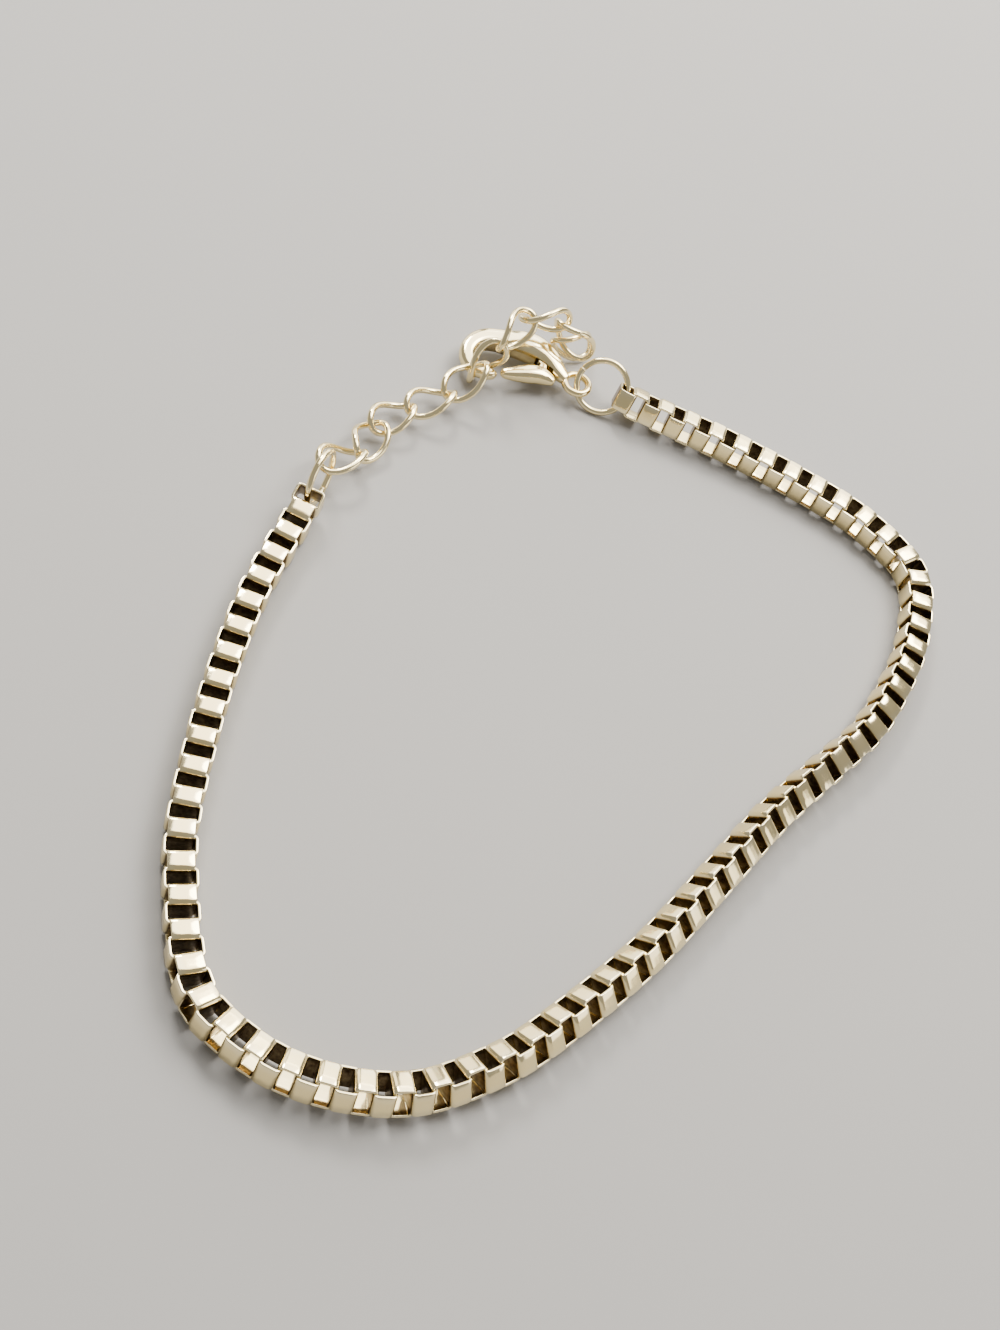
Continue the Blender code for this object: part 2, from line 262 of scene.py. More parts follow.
class ChainSizes(bpy.types.PropertyGroup):
    """Sizes of the chain's boxes."""

    pitch: length_property("Pitch", "Distance from one box to the next along the chain", 1.275)
    across: length_property("Across", "Outside size of a box over its two pads", 2.5)
    width: length_property("Strip width", "Width of the flat strip", 1.92)
    thickness: length_property("Strip thickness", "Thickness of the flat strip", 0.23)
    solder: length_property("Solder depth", "How far touching walls are fused", 0.045)
    bend: length_property("Bend radius", "Outside radius of the strip's bends", 0.42)
    edge: length_property("Edge radius", "Rounding of the strip's edges", 0.055)
    play: bpy.props.FloatProperty(
        name="Play",
        description="How far a box is turned from its neighbours at random",
        default=math.radians(0.5),
        subtype="ANGLE",
    )
    crown: length_property("Crown", "How much a pad's middle stands over its edges", 0.012)


class WireSizes(bpy.types.PropertyGroup):
    """Sizes of the jump rings and the extender's links."""

    ring_diameter: length_property("Ring diameter", "Outside diameter of a jump ring", 5.18)
    ring_wire: length_property("Ring wire", "Wire of a jump ring", 0.56)
    joint_gap: length_property("Joint gap", "Open joint of a jump ring", 0.05)
    link_length: length_property("Link length", "Outside length of an extender link", 5.27)
    link_breadth: length_property("Link breadth", "Outside breadth of an extender link", 3.4)
    link_wire: length_property("Link wire", "Wire of an extender link", 0.56)
    link_twist: bpy.props.FloatProperty(
        name="Link twist",
        description="Turn of a link's end against its middle",
        default=math.radians(42),
        subtype="ANGLE",
    )


class ClaspSizes(bpy.types.PropertyGroup):
    """Sizes of the lobster clasp."""

    length: length_property("Length", "Length that the clasp's sections are shares of", 12.4)
    breadth: length_property("Breadth", "Breadth that the clasp's sections are shares of", 6.2)
    flatness: number_property("Flatness", "Height of a section over its breadth", 0.92, 1.0)
    squareness: number_property("Squareness", "2 is a round section, more is boxier", 2.7)
    heading: bpy.props.FloatProperty(
        name="Heading",
        description="Direction from the hook to the eye on the surface",
        default=math.radians(12),
        subtype="ANGLE",
    )
    eye_hole: length_property("Eye hole", "Hole of the eye", 1.6)
    eye_wire: length_property("Eye wire", "Thickness of the eye", 0.64)
    pivot_along: number_property("Pivot along", "Place of the pin as a share of length", 0.202)
    pivot_across: number_property("Pivot across", "Place of the pin as a share of breadth", 0.218)
    pin: length_property("Pin", "Diameter of the lever's pin", 0.6)
    pin_length: length_property("Pin length", "Length of the lever's pin", 1.5)
    boss: length_property("Boss radius", "Radius of the lever round its pin", 0.7)
    tongue: length_property("Tongue", "Thickness of the lever between the cheeks", 0.84)
    slot_gap: length_property("Slot gap", "Clearance of the tongue in its slot", 0.1)
    slot_length: length_property("Slot length", "Length of the slot along the clasp", 1.8)


class MetalFinish(bpy.types.PropertyGroup):
    """Colours and polish of the gold."""

    gold: colour_property("Gold", "Colour of the polished gold", (0.97, 0.80, 0.42))
    pale: colour_property("Pale gold", "Colour where the plating is thin", (0.99, 0.90, 0.62))
    # This colour is painted shade, for the shadow inside the boxes and the hook's opening
    hollow_shade_colour: colour_property("Hollow shade", "Colour in the hollows", (0.07, 0.032, 0.014))
    polish: number_property("Roughness", "Roughness of the polished faces", 0.14, 1.0)
    scratches: number_property("Scratches", "Depth of the fine scratches", 0.08, 1.0)


class StageSettings(bpy.types.PropertyGroup):
    """Floor and lights."""

    floor: colour_property("Floor", "Colour of the floor", (0.36, 0.352, 0.34))
    size: bpy.props.FloatProperty(
        name="Floor size", description="Side of the floor", default=1.2, unit="LENGTH"
    )
    key: number_property("Key light", "Strength of the large light over the far side", 3.6, 100)
    sun: number_property("Sun light", "Strength of the small light on the left", 2.6, 100)
    window: number_property("Window light", "Strength of the small light on the right", 2.4, 100)
    far: number_property("Far light", "Strength of the low light behind the clasp", 2.2, 100)
    sides: number_property("Side lights", "Strength of the two low soft boxes", 1.0, 100)
    world: number_property("World", "Strength of the even light", 0.38)


SETTINGS = {
    "bracelet_chain": ChainSizes,
    "bracelet_wire": WireSizes,
    "bracelet_clasp": ClaspSizes,
    "bracelet_metal": MetalFinish,
    "bracelet_stage": StageSettings,
}


class Shader:
    """A shader socket on which arithmetic adds Math nodes."""

    def __init__(self, tree, socket):
        self.tree = tree
        self.socket = socket

    def node(self, kind, settings=None, inputs=None, output=0):
        """A new node's output, once its settings are made and its inputs set or linked."""
        made = self.tree.nodes.new(kind)
        for name, value in (settings or {}).items():
            setattr(made, name, value)
        for name, value in (inputs or {}).items():
            if isinstance(value, Shader):
                self.tree.links.new(value.socket, made.inputs[name])
            else:
                made.inputs[name].default_value = value
        return Shader(self.tree, made.outputs[output])

    def math(self, operation, *values):
        return self.node("ShaderNodeMath", {"operation": operation}, dict(enumerate(values)))

    def __add__(self, other):
        return self.math("ADD", self, other)

    def __radd__(self, other):
        return self.math("ADD", other, self)

    def __sub__(self, other):
        return self.math("SUBTRACT", self, other)

    def __mul__(self, other):
        return self.math("MULTIPLY", self, other)

    def clamp(self, low=0.0, high=1.0):
        return self.math("MAXIMUM", self.math("MINIMUM", self, high), low)

    def mix(self, first, second):
        """The first colour where this value is 0 and the second where it is 1."""
        inputs = {0: self, 6: first, 7: second}
        return self.node("ShaderNodeMix", {"data_type": "RGBA"}, inputs, output=2)

    def stretch(self, scale):
        """A vector with its three parts multiplied."""
        return self.node("ShaderNodeVectorMath", {"operation": "MULTIPLY"}, {0: self, 1: scale})

    def noise(self, scale, detail=3.0, roughness=0.55):
        """Noise on this vector, with features of about 1 / scale metres."""
        inputs = {"Vector": self, "Scale": scale, "Detail": detail, "Roughness": roughness}
        return self.node("ShaderNodeTexNoise", None, inputs)

    def feed(self, node, name):
        """Links this value to a node's input."""
        self.tree.links.new(self.socket, node.inputs[name])


def new_material(name):
    """A material, its Principled shader, and a start from which its other nodes are made."""
    material = bpy.data.materials.new(name)
    material.use_nodes = True
    tree = material.node_tree
    return material, tree.nodes["Principled BSDF"], Shader(tree, None)


def gold_material(name, wear, shade_strength, grain):
    """Plated gold: painted shade in the hollows, pale on worn edges, with fine polishing
    scratches.

    wear is the strength of the pale edges, and the one after it the strength of the painted shade
    in the hollows. grain is the size in metres of the slow unevenness of the plating.
    """
    finish = bpy.context.scene.bracelet_metal
    material, shader, start = new_material(name)
    place = start.node("ShaderNodeTexCoord", output="Object")
    hollow = start.node("ShaderNodeAttribute", {"attribute_name": "hollow"}, output="Fac")
    edge = start.node("ShaderNodeAttribute", {"attribute_name": "edge"}, output="Fac")
    cloud = place.noise(1 / grain)
    speck = place.noise(1 / (SPECK_GRAIN * grain), detail=4.0, roughness=0.7)
    scratch = place.stretch(SCRATCH_STRETCH).noise(1 / SCRATCH_GRAIN, detail=5.0)

    thin = (edge * wear + (cloud - 0.5) * CLOUD_IN_PALE).clamp()
    # Painted shade in the hollows, broken up by specks: the darker colour stands for shadow there
    painted_shade = (hollow * shade_strength + (speck - SPECK_MIDDLE) * SPECK_IN_SHADE * hollow).clamp()
    plated = thin.mix((*finish.gold, 1.0), (*finish.pale, 1.0))
    colour = painted_shade.mix(plated, (*finish.hollow_shade_colour, 1.0))
    rough = finish.polish + (cloud - 0.5) * CLOUD_IN_ROUGH + (scratch - 0.5) * SCRATCH_IN_ROUGH
    rough = rough + painted_shade * SHADE_IN_ROUGH
    height = scratch * SCRATCH_IN_RELIEF + speck * SPECK_IN_RELIEF
    relief = {"Strength": finish.scratches, "Distance": RELIEF_DEPTH, "Height": height}
    bump = start.node("ShaderNodeBump", None, relief)

    shader.inputs["Metallic"].default_value = 1.0
    colour.feed(shader, "Base Color")
    rough.clamp(*ROUGH_LIMITS).feed(shader, "Roughness")
    bump.feed(shader, "Normal")
    return material


def floor_material():
    """A plain pale matt surface, very slightly uneven in tone."""
    colour = bpy.context.scene.bracelet_stage.floor
    material, shader, start = new_material("plain_floor")
    cloud = start.node("ShaderNodeTexCoord", output="Object").noise(FLOOR_CLOUDS, detail=2.0)
    shade = tuple(FLOOR_TONE * part for part in colour)
    cloud.mix((*shade, 1.0), (*colour, 1.0)).feed(shader, "Base Color")
    shader.inputs["Roughness"].default_value = FLOOR_ROUGHNESS
    return material


def catmull_rom(rows, steps):
    """Points of a Catmull-Rom curve through the rows, with every column carried along."""
    rows = np.array(rows, float)
    rows = np.vstack([2 * rows[0] - rows[1], rows, 2 * rows[-1] - rows[-2]])
    before, start, end, after = rows[:-3], rows[1:-2], rows[2:-1], rows[3:]
    share = np.linspace(0, 1, steps, endpoint=False)[None, :, None]
    before, start, end, after = (part[:, None] for part in (before, start, end, after))
    bend = 2 * before - 5 * start + 4 * end - after
    twist = 3 * (start - end) + after - before
    points = start + share * (end - before + share * (bend + share * twist)) / 2
    return np.vstack([points.reshape(-1, rows.shape[1]), rows[-2]])


def unit(vectors):
    return vectors / np.linalg.norm(vectors, axis=-1, keepdims=True)


def ramp(values, start, span):
    """0 up to the start, then evenly up to 1 over the span."""
    return np.clip((values - start) / span, 0, 1)


def grid_quads(rows, columns, closed_rows=True, closed_columns=True):
    """Quads between neighbours of a grid, numbered row by row."""
    row = np.arange(rows if closed_rows else rows - 1)[:, None]
    column = np.arange(columns if closed_columns else columns - 1)[None, :]
    next_row = (row + 1) % rows
    next_column = (column + 1) % columns
    corners = [
        row * columns + column,
        next_row * columns + column,
        next_row * columns + next_column,
        row * columns + next_column,
    ]
    shape = (len(row), column.shape[1])
    return np.stack([np.broadcast_to(corner, shape) for corner in corners], -1).reshape(-1, 4)


def close_tube(rings, first, last):
    """A tube's rings as points and faces, closed at each end by a fan to a middle point."""
    count, sides = rings.shape[:2]
    ring = np.arange(sides)
    pairs = list(zip(ring, np.roll(ring, -1)))
    middle, last_ring = count * sides, (count - 1) * sides
    faces = grid_quads(count, sides, closed_rows=False)[:, ::-1].tolist()
    faces += [[b, a, middle] for a, b in pairs]
    faces += [[last_ring + a, last_ring + b, middle + 1] for a, b in pairs]
    return np.vstack([rings.reshape(-1, 3), first, last]), faces


def read_vectors(items, key):
    """The vectors that a mesh's items keep under a key, one a row."""
    values = np.zeros(len(items) * 3, np.float32)
    items.foreach_get(key, values)
    return values.reshape(-1, 3)


def set_shares(mesh, **shares):
    """Float attributes on a mesh's points."""
    for key, values in shares.items():
        layer = mesh.attributes.new(key, "FLOAT", "POINT")
        layer.data.foreach_set("value", np.asarray(values, np.float32).ravel())


def new_mesh(name, points, faces, **shares):
    """A smooth mesh object with float attributes on its points."""
    mesh = bpy.data.meshes.new(name)
    mesh.from_pydata(points.reshape(-1, 3).tolist(), [], [list(face) for face in faces])
    set_shares(mesh, **shares)
    mesh.polygons.foreach_set("use_smooth", np.ones(len(mesh.polygons), bool))
    mesh.update()
    made = bpy.data.objects.new(name, mesh)
    bpy.context.scene.collection.objects.link(made)
    return made


def finish_piece(piece, material, body, nodes):
    """Gives a piece its material, and ties it to the packed model."""
    piece.data.materials.clear()
    piece.data.materials.append(material)
    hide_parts(*nodes)
    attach(piece, body)


def rest_height(roll, sizes):
    """Height of the chain's centre line over the surface at a roll in radians."""
    across, width = sizes.across / 2, sizes.width / 2
    flat = width * abs(np.sin(roll)) + across * abs(np.cos(roll))
    upright = across * abs(np.sin(roll)) + width * abs(np.cos(roll))
    return np.maximum(flat, upright)


def box_places(sizes):
    """Centres and axes of the boxes, evenly spaced along the route, as whole arrays."""
    rows = catmull_rom(ROUTE, ROUTE_STEPS)
    flat = rows[:, :2] * MM
    run = np.concatenate([[0], np.cumsum(np.linalg.norm(np.diff(flat, axis=0), axis=1))])
    pairs = round((run[-1] / sizes.pitch + 1) / 2)
    stations = np.linspace(0, run[-1], 2 * pairs)
    x, y = (np.interp(stations, run, flat[:, axis]) for axis in (0, 1))
    roll = np.radians(np.interp(stations, run, rows[:, 2]))
    z = rest_height(roll, sizes)
    from_first = np.clip(1 - stations / RISE_LENGTH, 0, None) ** 2
    from_last = np.clip(1 - (run[-1] - stations) / RISE_LENGTH, 0, None) ** 2
    z = z + (FIRST_END_HEIGHT - z[0]) * from_first + (LAST_END_HEIGHT - z[-1]) * from_last
    centres = np.stack([x, y, z], axis=1)
    along = unit(np.gradient(centres, axis=0))
    inward = unit(np.cross([0, 0, 1], along))
    above = np.cross(along, inward)
    first_side = np.cos(roll)[:, None] * above + np.sin(roll)[:, None] * inward
    odd = (np.arange(len(centres)) % 2 == 1)[:, None]
    side = np.where(odd, first_side, np.cross(along, first_side))
    return centres, np.stack([along, side, np.cross(along, side)], axis=1)


def rounded_outline(half_x, half_y, radius, arc_steps, straight_steps):
    """Points and outward normals round a rectangle whose corners are quarter circles."""
    points, normals = [], []
    for corner, (x_side, y_side) in enumerate(((1, 1), (-1, 1), (-1, -1), (1, -1))):
        angle = math.pi / 2 * (corner + np.linspace(0, 1, arc_steps))
        normal = np.stack([np.cos(angle), np.sin(angle)], axis=1)
        centre = np.array([x_side * (half_x - radius), y_side * (half_y - radius)])
        points.append(centre + radius * normal)
        normals.append(normal)
    outline, facing = [], []
    for arc, normal, following in zip(points, normals, points[1:] + points[:1]):
        share = np.linspace(0, 1, straight_steps + 2)[1:-1, None]
        outline += [arc, arc[-1] + share * (following[0] - arc[-1])]
        facing += [normal, np.repeat(normal[-1:], straight_steps, axis=0)]
    return np.vstack(outline), np.vstack(facing)


def box_surface(sizes):
    """One box of bent strip.

    One parameter goes round the bent strip's middle line, a rectangle with round corners, and
    the other round the strip's own section: point = middle line + its normal * depth + the
    tube's axis * reach. The pads' middles are crowned outwards. The painted shade share is 1
    inside and on the end walls, for the shadow in the hollow, and the edge share is 1 on the rest
    of the rims.
    """
    half_wall = sizes.thickness / 2
    length = sizes.pitch + 2 * sizes.thickness - sizes.solder
    middle, normal = rounded_outline(
        length / 2 - half_wall,
        sizes.across / 2 - half_wall,
        sizes.bend - half_wall,
        BEND_STEPS,
        WALL_STEPS,
    )
    section, _ = rounded_outline(sizes.width / 2, half_wall, sizes.edge, EDGE_STEPS, FACE_STEPS)
    reach, depth = section.T
    fall = sizes.crown * (reach / (sizes.width / 2)) ** 2
    lift = np.where(depth > 0, depth - fall, depth)
    flat = middle[:, None] + normal[:, None] * lift[None, :, None]
    reaches = np.broadcast_to(reach[None, :, None], (*flat.shape[:2], 1))
    on_face = np.abs(depth) > FACE_SHARE * half_wall
    end_wall = ramp(np.abs(normal[:, :1]), *END_WALL)
    # Painted shade: inside faces and end walls are darkened for the shadow in the box's hollow
    hollow = np.maximum(on_face & (depth < 0), end_wall * on_face)
    edge = (np.abs(reach) > RIM_SHARE * sizes.width / 2) * (1 - hollow)
    return np.concatenate([flat, reaches], -1), normal, hollow, edge


def build_boxes(name, surface, centres, axes):
    """Copies of one box at the places: point = centre + box point turned to the axes.

    Walls whose inside faces the sky are lit, so their share of painted shade falls to nothing.
    """
    points, normal, hollow, edge = surface
    local = points.reshape(-1, 3)
    count = len(centres)
    world = centres[:, None] + np.einsum("pk,nkc->npc", local, axes)
    quads = grid_quads(*points.shape[:2])[:, ::-1]
    faces = (np.arange(count)[:, None, None] * len(local) + quads[None]).reshape(-1, 4)
    # Walls whose inside looks up are lit, so they lose the painted shade
    sky_facing = ramp(-np.einsum("rk,nk->nr", normal, axes[:, :2, 2]), *SKY_FACING)
    hollow = hollow[None] * (1 - sky_facing[:, :, None])
    return new_mesh(name, world, faces, hollow=hollow, edge=np.tile(edge.ravel(), count))


def unsettle(axes, spread):
    """Turns each box at random: axis + small vector x axis, then made square again."""
    small = np.random.default_rng(PLAY_SEED).normal(0, spread, (len(axes), 1, 3))
    turned = axes + np.cross(small, axes)
    along = unit(turned[:, 0])
    side = unit(turned[:, 1] - (turned[:, 1] * along).sum(-1, keepdims=True) * along)
    return np.stack([along, side, np.cross(along, side)], axis=1)


def loop_frame(node):
    """Centre and axes of a node's wire loop: its longest, middle and shortest directions.

    The node's points are rounded to a ten thousandth of a millimetre, so that each counts once.
    """
    points = read_vectors(FRAME["nodes"][node].data.vertices, "co").astype(float)
    points = np.unique(np.round(points, 7), axis=0)
    centre = points.mean(0)
    axes = np.linalg.svd(points - centre, full_matrices=False)[2]
    axes[2] = np.cross(axes[0], axes[1])
    return centre, axes


def wire_tube(path, reference, radius, sides, closed):
    """A round wire along a path: point = path + radius * (cos v * side + sin v * above).

    side points along the reference, made square to the path.
    """
    step = np.roll(path, -1, 0) - np.roll(path, 1, 0)
    if not closed:
        step[0], step[-1] = path[1] - path[0], path[-1] - path[-2]
    along = unit(step)
    side = unit(reference - (reference * along).sum(-1, keepdims=True) * along)
    above = np.cross(along, side)
    angle = np.linspace(0, 2 * math.pi, sides, endpoint=False)[None, :, None]
    radius = np.broadcast_to(radius, len(path))[:, None, None]
    outward = np.cos(angle) * side[:, None] + np.sin(angle) * above[:, None]
    rings = path[:, None] + radius * outward
    if not closed:
        return close_tube(rings, path[0], path[-1])
    return rings.reshape(-1, 3), grid_quads(len(path), sides)[:, ::-1]


def wire_mesh(node, points, faces):
    """A wire without painted shade that is evenly pale."""
    even = np.zeros(len(points))
    return new_mesh(f"{node}_wire", points, faces, hollow=even, edge=even + WIRE_PALE)


def build_ring(node, sizes):
    """A jump ring: a circle of wire that stops short of itself by the open joint.

    point = centre + radius * (cos u * first axis + sin u * second axis), and the wire gets
    thinner towards its two cut ends.
    """
    centre, axes = loop_frame(node)
    radius = (sizes.ring_diameter - sizes.ring_wire) / 2
    half_gap = sizes.joint_gap / 2 / radius
    end_length = RING_END_LENGTH * sizes.ring_wire / radius
    end_place, end_wire = RING_END.T
    start = half_gap + end_length * end_place
    first = half_gap + 2 * end_length
    middle = np.linspace(first, 2 * math.pi - first, RING_STEPS)
    angle = np.concatenate([start, middle, 2 * math.pi - start[::-1]])
    wire = sizes.ring_wire / 2 * np.concatenate([end_wire, np.ones(RING_STEPS), end_wire[::-1]])
    outward = np.cos(angle)[:, None] * axes[0] + np.sin(angle)[:, None] * axes[1]
    path = centre + radius * outward
    return wire_mesh(node, *wire_tube(path, outward, wire, RING_SIDES, closed=False))


def build_link(node, sizes):
    """An extender link: an oval whose ends are twisted opposite ways.

    point = (a cos u, b sin u cos k, b sin u sin k) with the turn k = -twist * cos u.
    """
    centre, axes = loop_frame(node)
    half_length = (sizes.link_length - sizes.link_wire) / 2
    half_breadth = (sizes.link_breadth - sizes.link_wire) / 2
    angle = np.linspace(0, 2 * math.pi, LINK_STEPS, endpoint=False)
    turn = -sizes.link_twist * np.cos(angle)
    side = half_breadth * np.sin(angle)
    local = np.stack(
        [half_length * np.cos(angle), side * np.cos(turn), side * np.sin(turn)], axis=1
    )
    path = local @ axes
    tube = wire_tube(centre + path, path, sizes.link_wire / 2, LINK_SIDES, closed=True)
    return wire_mesh(node, *tube)


def clasp_axes(sizes):
    """Origin and axes of the clasp, worked back from its hinge in the packed model."""
    along = np.array([math.cos(sizes.heading), math.sin(sizes.heading), 0])
    across = np.array([-math.sin(sizes.heading), math.cos(sizes.heading), 0])
    axes = np.stack([along, across, np.array([0.0, 0.0, 1.0])])
    pivot = np.array(
        [sizes.pivot_along * sizes.length, sizes.pivot_across * sizes.breadth, 0.0]
    )
    return np.array(LEVER_HINGE["pos_m"]) - pivot @ axes, axes, pivot


def bar_surface(rows, sizes, steps=14, sides=32):
    """A bar along rows of clasp shares with a boxy section.

    point = path + radius * (c * side + flatness * s * up), where c and s are the cosine and the
    sine of v raised to 2 / squareness with their signs kept. Each end closes in a small dome.
    """
    path = catmull_rom(rows, steps)
    centre = np.stack(
        [path[:, 0] * sizes.length, path[:, 1] * sizes.breadth, np.zeros(len(path))], axis=1
    )
    radius = path[:, 2] * sizes.breadth
    along = unit(np.gradient(centre, axis=0))
    reach = DOME_LENGTH * np.sqrt(1 - DOME**2)[:, None]
    start = centre[0] - along[0] * radius[0] * reach
    end = centre[-1] + along[-1] * radius[-1] * reach[::-1]
    centre = np.vstack([start, centre, end])
    radius = np.concatenate([radius[0] * DOME, radius, radius[-1] * DOME[::-1]])
    rings = len(DOME)
    along = np.vstack([np.repeat(along[:1], rings, 0), along, np.repeat(along[-1:], rings, 0)])
    up = np.array([0.0, 0.0, 1.0])
    side = np.cross(up, along)
    angle = np.linspace(0, 2 * math.pi, sides, endpoint=False)
    power = 2 / sizes.squareness
    c = np.sign(np.cos(angle)) * np.abs(np.cos(angle)) ** power
    s = np.sign(np.sin(angle)) * np.abs(np.sin(angle)) ** power
    widen = c[None, :, None] * side[:, None] + sizes.flatness * s[None, :, None] * up
    surface = centre[:, None] + radius[:, None, None] * widen
    return close_tube(surface, centre[0], centre[-1])


def turned_surface(profile, centre, steps=40, ring=False):
    """A turned shape about a vertical axis: point = centre + (r cos u, r sin u, z).

    A ring's profile closes on itself. Any other shape closes in a middle point at each end.
    """
    profile = np.array(profile, float)
    angle = np.linspace(0, 2 * math.pi, steps, endpoint=False)[:, None]
    radius, height = profile[None, :, 0], profile[None, :, 1]
    across = [radius * np.cos(angle), radius * np.sin(angle)]
    points = centre + np.stack([*across, np.broadcast_to(height, across[0].shape)], axis=-1)
    points = points.reshape(-1, 3)
    faces = grid_quads(steps, len(profile), True, ring).tolist()
    if not ring:
        count = len(points)
        low = np.arange(steps) * len(profile)
        high = low + len(profile) - 1
        ends = [centre + [0, 0, profile[0, 1]], centre + [0, 0, profile[-1, 1]]]
        points = np.vstack([points, ends])
        faces += [[count, b, a] for a, b in zip(low, np.roll(low, -1))]
        faces += [[count + 1, a, b] for a, b in zip(high, np.roll(high, -1))]
    return points, faces


def join_surfaces(surfaces):
    points, faces, base = [], [], 0
    for local, quads in surfaces:
        local = np.asarray(local).reshape(-1, 3)
        points.append(local)
        faces += [[index + base for index in face] for face in quads]
        base += len(local)
    return np.vstack(points), faces


def cylinder_profile(radius, half_height, soft):
    """Profile of a pin from its lower face to its upper face, with rounded rims."""
    angle = np.linspace(-math.pi / 2, 0, 4)
    across = radius - soft + soft * np.cos(angle)
    height = -half_height + soft + soft * np.sin(angle)
    low = np.stack([across, height], axis=1)
    return np.vstack([low, low[::-1] * [1, -1]])


def eye_surface(sizes):
    """The eye: a ring about a vertical axis, point = (R + w cos v) round and w sin v up."""
    middle = (sizes.eye_hole + sizes.eye_wire) / 2
    wire = sizes.eye_wire / 2
    angle = np.linspace(0, 2 * math.pi, EYE_SIDES, endpoint=False)
    profile = np.stack([middle + wire * np.cos(angle), wire * np.sin(angle)], axis=1)
    centre = np.array([HOOK[0][0] * sizes.length + middle, 0, 0])
    return turned_surface(profile, centre, EYE_STEPS, ring=True)


def cut_slot(piece, low, high):
    """Cuts the lever's slot, a box between two corners in the clasp's own frame."""
    corners = np.array([[x, y, z] for x in (0, 1) for y in (0, 1) for z in (0, 1)])
    points = np.array(low) + corners * (np.array(high) - np.array(low))
    faces = [[0, 1, 3, 2], [4, 6, 7, 5], [0, 4, 5, 1], [2, 3, 7, 6], [0, 2, 6, 4], [1, 5, 7, 3]]
    cutter = new_mesh("slot_cutter", points, faces)
    modifier = piece.modifiers.new("slot", "BOOLEAN")
    modifier.operation = "DIFFERENCE"
    modifier.solver = "EXACT"
    modifier.object = cutter
    bpy.context.view_layer.update()
    graph = bpy.context.evaluated_depsgraph_get()
    cut = bpy.data.meshes.new_from_object(piece.evaluated_get(graph))
    piece.modifiers.clear()
    piece.data = cut
    bpy.data.objects.remove(cutter)
    cut.set_sharp_from_angle(angle=SHARP_ANGLE)


def put_on_clasp(piece, origin, axes):
    """Moves a piece's points from the clasp's own frame to the packed model's frame."""
    points = read_vectors(piece.data.vertices, "co").astype(float)
    world = origin + points @ axes
    piece.data.vertices.foreach_set("co", world.astype(np.float32).ravel())
    piece.data.update()


def clasp_attributes(piece, sizes):
    """Painted shade on walls that face into the hook's opening, and a pale top and foot."""
    mesh = piece.data
    points = read_vectors(mesh.vertices, "co")
    normals = read_vectors(mesh.vertex_normals, "vector")
    inward = np.array(OPENING) * [sizes.length, sizes.breadth] - points[:, :2]
    distance = np.linalg.norm(inward, axis=1)
    facing = (normals[:, :2] * inward).sum(1) / distance
    reach = OPENING_REACH * sizes.breadth
    # Painted shade inside the hook's opening, strongest on walls that face it squarely
    hollow = OPENING_SHADE * ramp(facing, *OPENING_FACING) * (1 - ramp(distance, reach, reach))
    edge = ramp(np.abs(points[:, 2]), 0, CLASP_PALE_HEIGHT * sizes.breadth) ** 2
    set_shares(mesh, hollow=hollow, edge=edge)


class BRACELET_OT_chain(bpy.types.Operator):
    """Models the boxes of the chain, in two meshes that alternate"""

    bl_idname = "bracelet.chain"
    bl_label = "Box chain"

    def execute(self, context):
        sizes = context.scene.bracelet_chain
        surface = box_surface(sizes)
        centres, axes = box_places(sizes)
        centres = centres + MODEL_SHIFT
        axes = unsettle(axes, sizes.play)
        gold = gold_material("chain_gold_polished", wear=0.5, shade_strength=0.95, grain=3.5 * MM)
        for first, name in enumerate(("upright_boxes", "flat_boxes")):
            piece = build_boxes(name, surface, centres[first::2], axes[first::2])
            finish_piece(piece, gold, BODY, ["box_chain"])
        return {"FINISHED"}


class BRACELET_OT_rings(bpy.types.Operator):
    """Models the two jump rings"""

    bl_idname = "bracelet.rings"
    bl_label = "Jump rings"

    def execute(self, context):
        sizes = context.scene.bracelet_wire
        gold = gold_material("ring_gold_polished", wear=0.6, shade_strength=0.5, grain=2.0 * MM)
        for node in ("extender_jump_ring", "clasp_jump_ring"):
            finish_piece(build_ring(node, sizes), gold, BODY, [node])
        return {"FINISHED"}


class BRACELET_OT_extender(bpy.types.Operator):
    """Models the links of the extender"""

    bl_idname = "bracelet.extender"
    bl_label = "Extender"

    def execute(self, context):
        sizes = context.scene.bracelet_wire
        gold = gold_material("extender_gold_polished", wear=0.7, shade_strength=0.5, grain=1.6 * MM)
        nodes = sorted(name for name in FRAME["nodes"] if name.startswith("extender_link"))
        for node in nodes:
            finish_piece(build_link(node, sizes), gold, BODY, [node])
        return {"FINISHED"}


class BRACELET_OT_clasp(bpy.types.Operator):
    """Models the lobster clasp's body with its eye and slot"""

    bl_idname = "bracelet.clasp"
    bl_label = "Clasp body"

    def execute(self, context):
        sizes = context.scene.bracelet_clasp
        origin, axes, pivot = clasp_axes(sizes)
        points, faces = bar_surface(HOOK, sizes)
        piece = new_mesh("clasp_body_cast", points, faces)
        reach = sizes.boss + sizes.slot_gap
        half_slot = sizes.tongue / 2 + sizes.slot_gap
        low = (pivot[0] - sizes.slot_length / 2, -sizes.breadth, -half_slot)
        high = (pivot[0] + sizes.slot_length / 2, pivot[1] + reach, half_slot)
        cut_slot(piece, low, high)
        clasp_attributes(piece, sizes)
        put_on_clasp(piece, origin, axes)
        gold = gold_material("clasp_gold_polished", wear=0.6, shade_strength=0.8, grain=3.0 * MM)
        finish_piece(piece, gold, BODY, ["clasp_body"])

        profile = cylinder_profile(sizes.pin / 2, sizes.pin_length / 2, PIN_RIM)
        points, faces = join_surfaces([eye_surface(sizes), turned_surface(profile, pivot)])
        trim = new_mesh("clasp_eye_and_pin", points, faces)
        clasp_attributes(trim, sizes)
        put_on_clasp(trim, origin, axes)
        finish_piece(trim, gold, BODY, ["clasp_body"])
        return {"FINISHED"}


